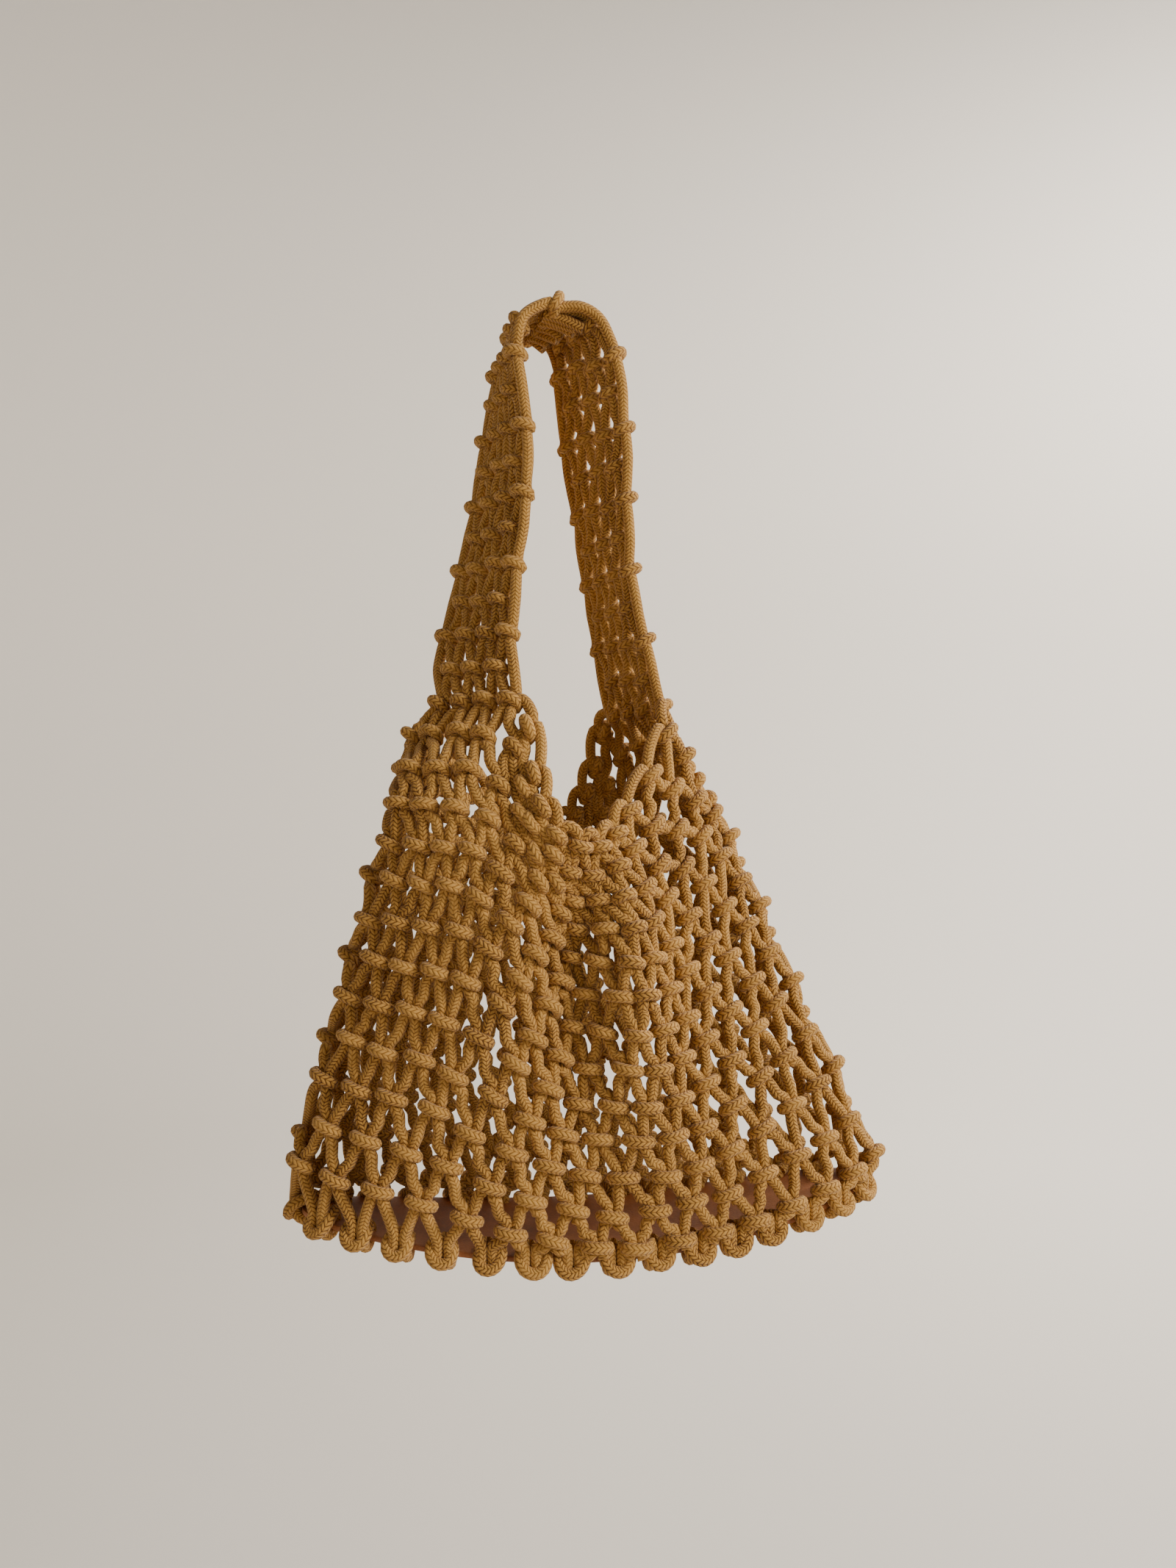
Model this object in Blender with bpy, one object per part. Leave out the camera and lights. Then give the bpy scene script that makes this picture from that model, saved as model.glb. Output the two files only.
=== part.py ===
"""Shoulder bag knotted from braided cotton cord on an oval leather base, as it hangs by its strap.

The origin is the hang point, on the underside of the strap where it crosses the top. X runs along
the base, Y towards the bag's back and Z up. One middle surface carries the whole net: rings from the
rim down to the base, and a band over the top from one end of the rim to the other. The net is
coarser than the real one, and each strut stands for a pair of cords.
"""
import math

import bmesh
import bpy
import numpy as np
from mathutils import Vector

# Sizes in metres
CORD_DIAMETER = 0.006
STRUT_WIDTH = 0.0085
KNOT_WIDTH = 0.017
KNOT_HEIGHT = 0.014
KNOT_THICKNESS = 0.010
STRAP_WIDTH = 0.062
STRAP_DROP = 0.218
NECK_LENGTH = 0.106
NECK_DEPTH = 0.124
RIM_SAG = 0.076
BODY_HEIGHT = 0.272
FOLD_DEPTH = 0.020
BASE_LENGTH = 0.319
BASE_DEPTH = 0.094
BASE_THICKNESS = 0.003
BASE_SAG = 0.020
HOOK_WIDTH = 0.007
HOOK_THICKNESS = 0.005
HOOK_RISE = 0.006
HOLE_MARGIN = 0.005
SEAT_CLEARANCE = 0.0005
EDGE_CLEARANCE = 0.0012
JOINT_GAP = 0.0003

# Angles in degrees, seen from above
NECK_TWIST = 23.0
NECK_LEAN = 6.0

# Where the middles of the neck and of the base lie from the hang point
NECK_MIDDLE = (0.009, -0.008)
BASE_MIDDLE = (0.028, -0.016)

# Knots round the net, rows of them down it, and rows over the strap, which parts above the split row
NET_COLUMNS = 14
NET_ROWS = 5
STRAP_ROWS = 12
SPLIT_ROW = 6

# Half a strap's share of the way round the rim
LEG_SHARE = 1 / 12

# Sections of the body from the rim (0) to the base (1). along is counted in knots, down in height.
# spread and narrow go from the neck's length and depth to the base's, shift between their middles.
# twist, lean, rim_sag, base_sag and fold are shares of the sizes of those names.
# even is 1 where the knots are spaced evenly and 0 where they crowd towards the legs.
SECTION_NAMES = (
    "along", "down", "spread", "narrow", "shift", "twist", "lean", "rim_sag", "base_sag", "fold", "even")
SECTIONS = (
    (0.00, 0.000, 0.000, 0.00, 0.00, 1.00, 1.00, 1.00, 0.00, 0.00, 0.00),
    (0.31, 0.272, 0.445, 0.00, 0.20, 0.52, 0.33, 0.75, 0.25, 1.00, 0.15),
    (0.62, 0.581, 0.700, 0.33, 0.50, 0.17, 0.00, 0.53, 0.64, 0.60, 0.60),
    (0.92, 0.941, 1.000, 0.83, 1.00, 0.00, 0.00, 0.05, 1.00, 0.00, 1.00),
    (1.00, 1.000, 1.000, 1.00, 1.00, 0.00, 0.00, 0.00, 1.00, 0.00, 1.00),
)
LAST_KNOTS = 0.92

# The fold down the front: a valley and the pleat beside it, by their places round the ring
VALLEY_PLACE = 0.24
PLEAT_PLACE = 0.307
FOLD_BREADTH = 0.04
PLEAT_SHARE = 0.6

# The strap's route, from the rim's left end over the top to its right end. down is a share of the
# drop, bow_x and bow_y how far it strays from the straight line to its rim end, as shares of the
# strap's width, and turn the direction that its front edge faces, in degrees from straight ahead.
ROUTE = (
    ("left", 1.000, 0.00, 0.00, 42.0),
    ("left", 0.897, -0.05, 0.06, 40.0),
    ("left", 0.712, -0.07, 0.14, 34.0),
    ("left", 0.524, -0.07, 0.13, 29.0),
    ("left", 0.335, -0.12, 0.09, 22.0),
    ("left", 0.146, -0.20, 0.06, 13.0),
    ("left", 0.047, -0.16, 0.03, 13.0),
    ("left", 0.000, 0.00, 0.00, 17.0),
    ("right", 0.047, 0.20, -0.08, 22.0),
    ("right", 0.146, 0.27, -0.18, 29.0),
    ("right", 0.335, 0.18, -0.17, 30.0),
    ("right", 0.524, 0.09, -0.11, 23.0),
    ("right", 0.712, 0.02, -0.05, 18.0),
    ("right", 0.897, -0.01, -0.04, 22.0),
    ("right", 1.000, 0.00, 0.00, 24.0),
)

# How far a leg's flat band reaches down into the rings, and how far past its own edges
BAND_REACH = 0.385
BAND_FADE = 0.10

# The places of the strap's outer knots and of its edge cords, as shares of its half width
OUTER_KNOT_PLACE = 0.66
EDGE_CORD_PLACE = 0.90

# How much of a knot's width and height its square sides take
SQUARE_SHARE = 0.22

ANGLE_STEPS = 360
SLOPE_STEP = 0.004


def smooth_value(places, values, place):
    """Read a smooth curve through the given values at a place between them."""
    if place <= places[0]:
        return values[0]
    if place >= places[-1]:
        return values[-1]
    last = len(places) - 1
    left = max(i for i in range(last) if places[i] <= place)
    span = places[left + 1] - places[left]

    def slope(i):
        before = max(i - 1, 0)
        after = min(i + 1, last)
        return span * (values[after] - values[before]) / (places[after] - places[before])

    s = (place - places[left]) / span
    start = (2 * s ** 3 - 3 * s ** 2 + 1) * values[left] + (s ** 3 - 2 * s ** 2 + s) * slope(left)
    end = (3 * s ** 2 - 2 * s ** 3) * values[left + 1] + (s ** 3 - s ** 2) * slope(left + 1)
    return start + end


def ease(share):
    share = min(max(share, 0.0), 1.0)
    return share * share * (3 - 2 * share)


def signed_turn(around, place):
    """How far round the ring a place lies behind another, from minus a half to a half."""
    return (around - place + 0.5) % 1.0 - 0.5


def bump(around, place):
    return math.exp(-(signed_turn(around, place) / FOLD_BREADTH) ** 2)


def even_angle(around, half_length, half_depth):
    """The angle of an ellipse at an even share of the way round its edge."""
    angles = np.linspace(0, 2 * math.pi, ANGLE_STEPS + 1)
    pieces = np.hypot(half_length * np.sin(angles), half_depth * np.cos(angles))
    lengths = np.concatenate([[0.0], np.cumsum((pieces[1:] + pieces[:-1]) / 2)])
    return float(np.interp((around % 1.0) * lengths[-1], lengths, angles))


def sag_share(angle):
    """How much of a sag shows at an angle of the ring: none at its ends, all in the middle."""
    return abs(math.sin(angle)) ** 2.4


def section_at(along):
    """The body's section values at a share of the way from the rim to the base."""
    columns = list(zip(*SECTIONS))
    return {name: smooth_value(columns[0], column, along) for name, column in zip(SECTION_NAMES, columns)}


# The net's middle surface stands this far outside the leather's edge
EDGE_OUT = CORD_DIAMETER / 2 + EDGE_CLEARANCE


def ring_point(around, along):
    """A point of the rings, around from the middle of the left leg by the front to the right one."""
    s = section_at(along)
    neck = (NECK_LENGTH / 2, NECK_DEPTH / 2)
    base = (BASE_LENGTH / 2 + EDGE_OUT, BASE_DEPTH / 2 + EDGE_OUT)
    half_length = neck[0] + (base[0] - neck[0]) * s["spread"]
    half_depth = neck[1] + (base[1] - neck[1]) * s["narrow"]
    plain = 2 * math.pi * (around % 1.0)
    angle = plain + s["even"] * (even_angle(around, half_length, half_depth) - plain)
    fold = FOLD_DEPTH * s["fold"] * (bump(around, VALLEY_PLACE) - PLEAT_SHARE * bump(around, PLEAT_PLACE))
    x = -half_length * math.cos(angle)
    y = -half_depth * math.sin(angle) + fold
    twist = math.radians(NECK_TWIST * s["twist"])
    lean = math.radians(NECK_LEAN * s["lean"])
    middle = [n + (b - n) * s["shift"] for n, b in zip(NECK_MIDDLE, BASE_MIDDLE)]
    sag = (RIM_SAG * s["rim_sag"] + BASE_SAG * s["base_sag"]) * sag_share(angle)
    return Vector((
        x * math.cos(twist) - y * math.sin(lean) + middle[0],
        x * math.sin(twist) + y * math.cos(lean) + middle[1],
        -STRAP_DROP - BODY_HEIGHT * s["down"] - sag))


def route_stations():
    """The strap's stations: their points, their turns and their distances along the strap."""
    ends = {"left": ring_point(0.0, 0.0), "right": ring_point(0.5, 0.0)}
    top = KNOT_THICKNESS / 2
    points = []
    for leg, down, bow_x, bow_y, turn in ROUTE:
        points.append(Vector((
            ends[leg].x * down + bow_x * STRAP_WIDTH,
            ends[leg].y * down + bow_y * STRAP_WIDTH,
            top - (STRAP_DROP + top) * down)))
    distances = [0.0]
    for a, b in zip(points, points[1:]):
        distances.append(distances[-1] + (b - a).length)
    return points, [row[-1] for row in ROUTE], distances


STATION_POINTS, STATION_TURNS, STATION_DISTANCES = route_stations()


def band_point(across, along):
    """A point of the strap's band: across from its rear edge (-1) to its front edge (1)."""
    place = along * STATION_DISTANCES[-1]
    middle = Vector([
        smooth_value(STATION_DISTANCES, [point[axis] for point in STATION_POINTS], place)
        for axis in range(3)])
    turn = math.radians(smooth_value(STATION_DISTANCES, STATION_TURNS, place))
    return middle + Vector((math.sin(turn), -math.cos(turn), 0)) * across * STRAP_WIDTH / 2


def body_point(around, along):
    """A point of the body: the rings, with the flat bands of the two legs worked into their tops."""
    point = ring_point(around, along)
    for middle, end, forward in ((0.0, 0.0, 1), (0.5, 1.0, -1)):
        away = signed_turn(around, middle)
        weight = ease(1 - (abs(away) - LEG_SHARE) / BAND_FADE) * ease(1 - along / BAND_REACH)
        if weight > 0:
            held = min(max(away, -LEG_SHARE), LEG_SHARE)
            band = band_point(forward * held / LEG_SHARE, end)
            point = point + weight * (band - ring_point(middle + held, 0.0))
    return point


class Knot:
    """An eight-sided knot on a surface. Struts leave it at its four slanting sides or its square ones."""

    OUTLINE = (
        ("right", "high"), ("right", "low"), ("low", "right"), ("low", "left"),
        ("left", "low"), ("left", "high"), ("high", "left"), ("high", "right"))
    SIDES = ("right", "right_low", "low", "left_low", "left", "left_high", "high", "right_high")
    DIRECTIONS = {"right": (1, 0), "left": (-1, 0), "low": (0, 1), "high": (0, -1)}

    def __init__(self, surface, across, along, downwards=1, size=(KNOT_WIDTH, KNOT_HEIGHT, KNOT_THICKNESS)):
        self.centre = surface(across, along)
        self.place = (across, along)
        side = (surface(across + SLOPE_STEP, along) - surface(across - SLOPE_STEP, along)).normalized()
        fall = surface(across, along + SLOPE_STEP) - surface(across, along - SLOPE_STEP)
        fall = (fall * downwards).normalized()
        slant = side.dot(fall) / 2
        self.out = fall.cross(side).normalized()
        self.side = (side - slant * fall).normalized()
        self.fall = (fall - slant * side).normalized()
        width, height, thickness = size
        self.corners = {}
        for near, far in self.OUTLINE:
            x = self.DIRECTIONS[near][0] + SQUARE_SHARE * self.DIRECTIONS[far][0]
            y = self.DIRECTIONS[near][1] + SQUARE_SHARE * self.DIRECTIONS[far][1]
            spot = self.centre + self.side * x * width / 2 + self.fall * y * height / 2
            half = self.out * thickness / 2
            self.corners[near, far] = (spot + half, spot - half)

    def side_loop(self, side, corners, leaving=True):
        """One side's outer pair and then its inner pair, ordered for a strut that leaves or arrives."""
        i = self.SIDES.index(side)
        pair = [corners[self.OUTLINE[(i + 1) % 8]], corners[self.OUTLINE[i]]]
        first, second = pair if leaving else reversed(pair)
        return [first[0], second[0], second[1], first[1]]


class Net:
    """One piece of the net, stitched from knots and struts into a single closed body."""

    def __init__(self, knots):
        self.bm = bmesh.new()
        self.knots = list(knots)
        self.joined = set()
        self.corners = {knot: self.knot_corners(knot) for knot in self.knots}

    def knot_corners(self, knot):
        return {name: [self.bm.verts.new(spot) for spot in pair] for name, pair in knot.corners.items()}

    def end_loop(self, knot, side, leaving=True):
        """Where a strut starts or ends: at a knot's side, or just short of it on another piece's knot."""
        if knot in self.knots:
            self.joined.add((knot, side))
            return knot.side_loop(side, self.corners[knot], leaving)
        spots = knot.side_loop(side, knot.corners)
        outward = knot.out.cross(spots[0] - spots[1]).normalized() * JOINT_GAP
        loop = [self.bm.verts.new(spot + outward) for spot in knot.side_loop(side, knot.corners, leaving)]
        self.bm.faces.new(loop)
        return loop

    def wall(self, loops):
        for before, after in zip(loops, loops[1:]):
            for i in range(4):
                k = (i + 1) % 4
                self.bm.faces.new((before[i], before[k], after[k], after[i]))

    def section_loops(self, sections):
        return [[self.bm.verts.new(spot) for spot in spots] for spots in sections]

    def join(self, knot_a, side_a, knot_b, side_b, sections):
        start = self.end_loop(knot_a, side_a)
        end = self.end_loop(knot_b, side_b, leaving=False)
        self.wall([start, *self.section_loops(sections), end])

    def hook(self, knot, sections):
        """Carry a knot's low side on through the given sections, and close the last one."""
        loops = self.section_loops(sections)
        self.wall([self.end_loop(knot, "low"), *loops])
        self.bm.faces.new(loops[-1])

    def finish(self, name, material):
        for knot in self.knots:
            corners = self.corners[knot]
            for layer in (0, 1):
                self.bm.faces.new([corners[corner][layer] for corner in Knot.OUTLINE])
            for side in Knot.SIDES:
                if (knot, side) not in self.joined:
                    self.bm.faces.new(knot.side_loop(side, corners))
        bmesh.ops.recalc_face_normals(self.bm, faces=self.bm.faces)
        return finished_object(name, self.bm, material)


def finished_object(name, bm, material=None):
    mesh = bpy.data.meshes.new(name)
    bm.to_mesh(mesh)
    bm.free()
    if material:
        mesh.materials.append(material)
    piece = bpy.data.objects.new(name, mesh)
    bpy.context.scene.collection.objects.link(piece)
    return piece


def principled(name, colour, roughness):
    material = bpy.data.materials.new(name)
    material.use_nodes = True
    shader = material.node_tree.nodes["Principled BSDF"]
    shader.inputs["Base Color"].default_value = (*colour, 1.0)
    shader.inputs["Roughness"].default_value = roughness
    shader.inputs["Metallic"].default_value = 0.0
    return material


def section_spots(centre, direction, out, width):
    """The four corners of a strut's section, as thick as a cord."""
    side = direction.cross(out).normalized() * width / 2
    half = out * CORD_DIAMETER / 2
    return [centre + side + half, centre - side + half, centre - side - half, centre + side - half]


def strut_sections(surface, start, end, shares, outside, width=STRUT_WIDTH):
    """A strut's sections at shares of the way between two places of a surface, by its outer side."""
    sections = []
    direction = (surface(*end) - surface(*start)).normalized()
    for share in shares:
        across, along = (a + (b - a) * share for a, b in zip(start, end))
        right = surface(across + SLOPE_STEP, along) - surface(across - SLOPE_STEP, along)
        fall = surface(across, along + SLOPE_STEP) - surface(across, along - SLOPE_STEP)
        out = right.cross(fall).normalized()
        out = out if out.dot(outside) > 0 else -out
        sections.append(section_spots(surface(across, along), direction, out, width))
    return sections


def body_knots():
    """The body's knots by row and half column; every other row stands half a column on."""
    knots = {}
    for row in range(NET_ROWS + 2):
        hooked = row == NET_ROWS + 1
        along = 1 - HOOK_RISE / BODY_HEIGHT if hooked else LAST_KNOTS * row / NET_ROWS
        size = (2 * HOOK_WIDTH, 1.5 * HOOK_RISE, CORD_DIAMETER) if hooked else None
        for column in range(NET_COLUMNS):
            half = 2 * column + row % 2
            around = half / (2 * NET_COLUMNS)
            knots[row, half] = Knot(body_point, around, along, size=size) if hooked else Knot(
                body_point, around, along)
    return knots


def leg_halves():
    """The half columns of the rim under each leg, from its rear edge to its front edge."""
    return {
        "left": [2 * NET_COLUMNS - 2, 0, 2],
        "right": [NET_COLUMNS + 2, NET_COLUMNS, NET_COLUMNS - 2],
    }


def leather_height(x):
    """The height of the middle of the leather, which bends down between its two ends."""
    share = (x - BASE_MIDDLE[0]) / (BASE_LENGTH / 2 + EDGE_OUT)
    angle = math.acos(min(max(share, -1.0), 1.0))
    return -STRAP_DROP - BODY_HEIGHT - BASE_SAG * sag_share(angle)


def hook_frame(knot):
    """The foot of a hook's knot level with the leather, the way inwards and the way along the edge."""
    foot = body_point(knot.place[0], 1.0)
    inward = -Vector((knot.out.x, knot.out.y, 0)).normalized()
    return foot, inward, Vector((-inward.y, inward.x, 0))


def hook_sections(knot):
    """A hook's path: under the leather's edge, up through its hole and back over the edge."""
    foot, inward, along = hook_frame(knot)
    outer = -CORD_DIAMETER / 2
    inner = CORD_DIAMETER / 2
    near = EDGE_OUT + HOLE_MARGIN
    far = near + HOOK_THICKNESS
    above = BASE_THICKNESS / 2 + SEAT_CLEARANCE
    top = above + HOOK_THICKNESS
    tip = inner + SEAT_CLEARANCE
    corners = (
        ((outer, -top), (inner, -above)),
        ((far, -top), (near, -above)),
        ((far, top), (near, above)),
        ((tip, top), (tip, above)),
    )
    sections = []
    for first, second in corners:
        spots = []
        for sideways, (into, rise) in ((1, first), (-1, first), (-1, second), (1, second)):
            spot = foot + inward * into + along * sideways * HOOK_WIDTH / 2
            spot.z = leather_height(spot.x) + rise
            spots.append(spot)
        sections.append(spots)
    return sections


def build_body(knots, material):
    """The body net: diamonds from the rim down, the rim's arches and the hooks round the leather."""
    net = Net(knots.values())
    turn = 2 * NET_COLUMNS
    for (row, half), knot in knots.items():
        if row == NET_ROWS + 1:
            net.hook(knot, hook_sections(knot))
            continue
        for step, side, other_side in ((1, "right_low", "left_high"), (-1, "left_low", "right_high")):
            other = knots[row + 1, (half + step) % turn]
            end = (knot.place[0] + step / turn, other.place[1])
            sections = strut_sections(body_point, knot.place, end, (0.5,), knot.out)
            net.join(knot, side, other, other_side, sections)
    legs = leg_halves().values()
    for half in range(0, turn, 2):
        after = (half + 2) % turn
        if any(half in leg and after in leg for leg in legs):
            continue
        knot, other = knots[0, half], knots[0, after]
        side = "right" if any(half in leg for leg in legs) else "right_high"
        other_side = "left" if any(after in leg for leg in legs) else "left_high"
        rise = (knot.fall + other.fall).normalized() * -KNOT_HEIGHT / 3
        middle = section_spots(
            (knot.centre + other.centre) / 2 + rise,
            (other.centre - knot.centre).normalized(),
            (knot.out + other.out).normalized(),
            CORD_DIAMETER)
        net.join(knot, side, other, other_side, [middle])
    return net.finish("body_net", material)


def strap_place(row, column):
    """Where a knot stands on the strap's band. Its columns run from -2 to 2."""
    return (column / 2 * OUTER_KNOT_PLACE, row / STRAP_ROWS)


def strap_columns(row):
    """Three knots on even rows and two between them on odd ones."""
    return (-2, 0, 2) if row % 2 == 0 else (-1, 1)


def strap_knots():
    return {
        (row, column): Knot(band_point, *strap_place(row, column), downwards=-1)
        for row in range(1, STRAP_ROWS) for column in strap_columns(row)}


def slanting_side(row, towards, onward):
    """The side of a strap's knot that looks towards a column, on to the next row or back from it.

    The rim's knots are the body's: their high sides look up either leg, and their right sides look
    round the rim, which is forwards at the left leg and backwards at the right one.
    """
    if row == STRAP_ROWS:
        return "left_high" if towards > 0 else "right_high"
    return ("right" if towards > 0 else "left") + ("_high" if onward else "_low")


def build_strap(name, first_row, last_row, knots, material):
    """One part of the strap: the knots of its own rows, with struts and edge cords on to its ends."""
    net = Net(knot for (row, column), knot in knots.items() if first_row <= row <= last_row)
    end_row = STRAP_ROWS if last_row == STRAP_ROWS - 1 else last_row
    for row in range(first_row - 1, end_row):
        for column in strap_columns(row):
            for step in (1, -1):
                if (row + 1, column + step) not in knots:
                    continue
                low = knots[row, column]
                high = knots[row + 1, column + step]
                places = strap_place(row, column), strap_place(row + 1, column + step)
                sections = strut_sections(band_point, *places, (0.4, 0.6), low.out)
                low_side = slanting_side(row, step, True)
                net.join(low, low_side, high, slanting_side(row + 1, -step, False), sections)
        if row % 2 == 0 and row + 2 <= end_row:
            for column in (-2, 2):
                low = knots[row, column]
                high = knots[row + 2, column]
                across = math.copysign(EDGE_CORD_PLACE, column)
                start, end = (across, row / STRAP_ROWS), (across, (row + 2) / STRAP_ROWS)
                sections = strut_sections(
                    band_point, start, end, (0.35, 0.5, 0.65), low.out, CORD_DIAMETER)
                low_side = slanting_side(row, column, True)
                net.join(low, low_side, high, slanting_side(row + 2, column, False), sections)
    return net.finish(name, material)


def leather_outline():
    """The leather's edge as (x, half depth), from its left end to its right end."""
    count = 2 * NET_COLUMNS
    outline = []
    for i in range(count + 1):
        angle = even_angle(i / (2 * count), BASE_LENGTH / 2, BASE_DEPTH / 2)
        reach = max(BASE_DEPTH / 2 * math.sin(angle), BASE_THICKNESS)
        outline.append((BASE_MIDDLE[0] - BASE_LENGTH / 2 * math.cos(angle), reach))
    return outline


def build_base(hook_knots, material):
    """The leather base: a bent oval sheet with a slot for each hook."""
    bm = bmesh.new()
    rows = []
    for x, reach in leather_outline():
        corners = ((-reach, 0.5), (reach, 0.5), (reach, -0.5), (-reach, -0.5))
        rows.append([
            bm.verts.new((x, BASE_MIDDLE[1] + y, leather_height(x) + rise * BASE_THICKNESS))
            for y, rise in corners])
    for a, b in zip(rows, rows[1:]):
        for i in range(4):
            k = (i + 1) % 4
            bm.faces.new((a[i], a[k], b[k], b[i]))
    bm.faces.new(rows[0])
    bm.faces.new(rows[-1])
    bmesh.ops.recalc_face_normals(bm, faces=bm.faces)
    base = finished_object("leather_base", bm, material)
    cut = base.modifiers.new("slots", "BOOLEAN")
    cut.operation = "DIFFERENCE"
    cut.object = slot_cutter(hook_knots)
    return base


def slot_cutter(hook_knots):
    """One block for each hook, its clearance wider than the hook, right through the leather."""
    bm = bmesh.new()
    half_width = HOOK_WIDTH / 2 + SEAT_CLEARANCE
    near = EDGE_OUT + HOLE_MARGIN - SEAT_CLEARANCE
    far = EDGE_OUT + HOLE_MARGIN + HOOK_THICKNESS + SEAT_CLEARANCE
    for knot in hook_knots:
        foot, inward, along = hook_frame(knot)
        layers = []
        for rise in (-1, 1):
            spots = []
            for sideways, into in ((1, near), (1, far), (-1, far), (-1, near)):
                spot = foot + inward * into + along * sideways * half_width
                spot.z = leather_height(spot.x) + rise * 2 * BASE_THICKNESS
                spots.append(bm.verts.new(spot))
            bm.faces.new(spots)
            layers.append(spots)
        for i in range(4):
            k = (i + 1) % 4
            bm.faces.new((layers[0][i], layers[0][k], layers[1][k], layers[1][i]))
    bmesh.ops.recalc_face_normals(bm, faces=bm.faces)
    cutter = finished_object("slot_cutter", bm)
    cutter.hide_render = True
    cutter.display_type = "WIRE"
    return cutter


for old in list(bpy.data.objects):
    bpy.data.objects.remove(old, do_unlink=True)

cotton = principled("tan cotton cord", (0.50, 0.29, 0.12), 0.85)
leather = principled("brown leather", (0.28, 0.12, 0.04), 0.55)

body = body_knots()
strap = strap_knots()
for row, leg in ((0, "left"), (STRAP_ROWS, "right")):
    for column, half in zip(strap_columns(row), leg_halves()[leg]):
        strap[row, column] = body[0, half]

build_body(body, cotton)
build_strap("left_strap", 1, SPLIT_ROW, strap, cotton)
build_strap("right_strap", SPLIT_ROW + 1, STRAP_ROWS - 1, strap, cotton)
build_base([knot for (row, half), knot in body.items() if row == NET_ROWS + 1], leather)
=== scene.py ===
"""Shoulder bag knotted from tan braided cotton cord on an oval leather base, hanging by its strap."""
import functools
import math
import random

import bmesh
import bpy
import numpy as np
from mathutils import Matrix, Vector


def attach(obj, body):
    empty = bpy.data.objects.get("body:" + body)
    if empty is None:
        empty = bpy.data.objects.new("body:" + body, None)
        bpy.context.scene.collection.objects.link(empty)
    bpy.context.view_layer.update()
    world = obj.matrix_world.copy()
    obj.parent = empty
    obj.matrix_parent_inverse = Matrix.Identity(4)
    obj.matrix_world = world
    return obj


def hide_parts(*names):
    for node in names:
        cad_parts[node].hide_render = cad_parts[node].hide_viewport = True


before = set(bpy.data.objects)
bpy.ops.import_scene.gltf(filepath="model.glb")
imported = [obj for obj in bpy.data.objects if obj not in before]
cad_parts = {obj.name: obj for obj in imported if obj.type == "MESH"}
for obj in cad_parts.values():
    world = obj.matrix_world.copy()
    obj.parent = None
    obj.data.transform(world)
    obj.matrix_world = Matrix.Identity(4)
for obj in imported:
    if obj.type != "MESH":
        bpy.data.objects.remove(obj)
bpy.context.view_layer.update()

# Camera, floor, backdrop and lights
# The bag is seen from in front and a little to its left, with the lens level with the strap's foot.
# It hangs in front of a pale round cove in soft daylight from the right.
camera_data = bpy.data.cameras.new("camera")
camera_data.lens = 27
camera_data.sensor_width = 36
camera = bpy.data.objects.new("camera", camera_data)
camera.location = (-0.0899, -0.6655, -0.262)
camera.rotation_euler = (math.radians(90), 0, math.radians(-10))
bpy.context.scene.collection.objects.link(camera)
bpy.context.scene.camera = camera

COVE_RADIUS = 4.0
COVE_BEND = 1.6
COVE_HEIGHT = 5.0
FLOOR_HEIGHT = -1.15


def cove_mesh():
    """A round floor whose edge bends up into a round wall."""
    profile = [(0.0, 0.0)]
    for i in range(13):
        angle = math.radians(7.5 * i)
        profile.append((
            COVE_RADIUS - COVE_BEND + COVE_BEND * math.sin(angle),
            COVE_BEND - COVE_BEND * math.cos(angle)))
    profile.append((COVE_RADIUS, COVE_HEIGHT))
    bm = bmesh.new()
    spots = [bm.verts.new((x, 0, FLOOR_HEIGHT + z)) for x, z in profile]
    edges = [bm.edges.new(pair) for pair in zip(spots, spots[1:])]
    bmesh.ops.spin(bm, geom=spots + edges, cent=(0, 0, 0), axis=(0, 0, 1), angle=math.tau, steps=96)
    bmesh.ops.remove_doubles(bm, verts=bm.verts, dist=0.001)
    bmesh.ops.recalc_face_normals(bm, faces=bm.faces)
    for face in bm.faces:
        face.normal_flip()
        face.smooth = True
    mesh = bpy.data.meshes.new("cove")
    bm.to_mesh(mesh)
    bm.free()
    return mesh


wall_paint = bpy.data.materials.new("pale wall paint")
wall_paint.use_nodes = True
paint = wall_paint.node_tree.nodes["Principled BSDF"]
paint.inputs["Base Color"].default_value = (0.66, 0.61, 0.54, 1)
paint.inputs["Roughness"].default_value = 0.95
cove = bpy.data.objects.new("cove", cove_mesh())
cove.data.materials.append(wall_paint)
bpy.context.scene.collection.objects.link(cove)

world = bpy.data.worlds.new("soft daylight")
world.use_nodes = True
world.node_tree.nodes["Background"].inputs["Color"].default_value = (0.93, 0.96, 1.0, 1)
world.node_tree.nodes["Background"].inputs["Strength"].default_value = 0.06
bpy.context.scene.world = world


def area_light(name, place, target, size, power, colour):
    light_data = bpy.data.lights.new(name, "AREA")
    light_data.shape = "DISK"
    light_data.size = size
    light_data.energy = power
    light_data.color = colour
    light = bpy.data.objects.new(name, light_data)
    light.location = place
    light.rotation_euler = (Vector(target) - Vector(place)).to_track_quat("-Z", "Y").to_euler()
    bpy.context.scene.collection.objects.link(light)


area_light("window", (1.7, -1.4, 0.6), (0, 0, -0.3), 1.2, 61, (1.0, 0.98, 0.95))
area_light("fill", (-1.6, -1.6, 0.2), (0, 0, -0.3), 1.6, 3, (0.95, 0.97, 1.0))
area_light("wall wash", (2.4, 1.0, 1.6), (0.6, 3.6, -0.2), 1.5, 225, (1.0, 0.98, 0.95))

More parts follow.
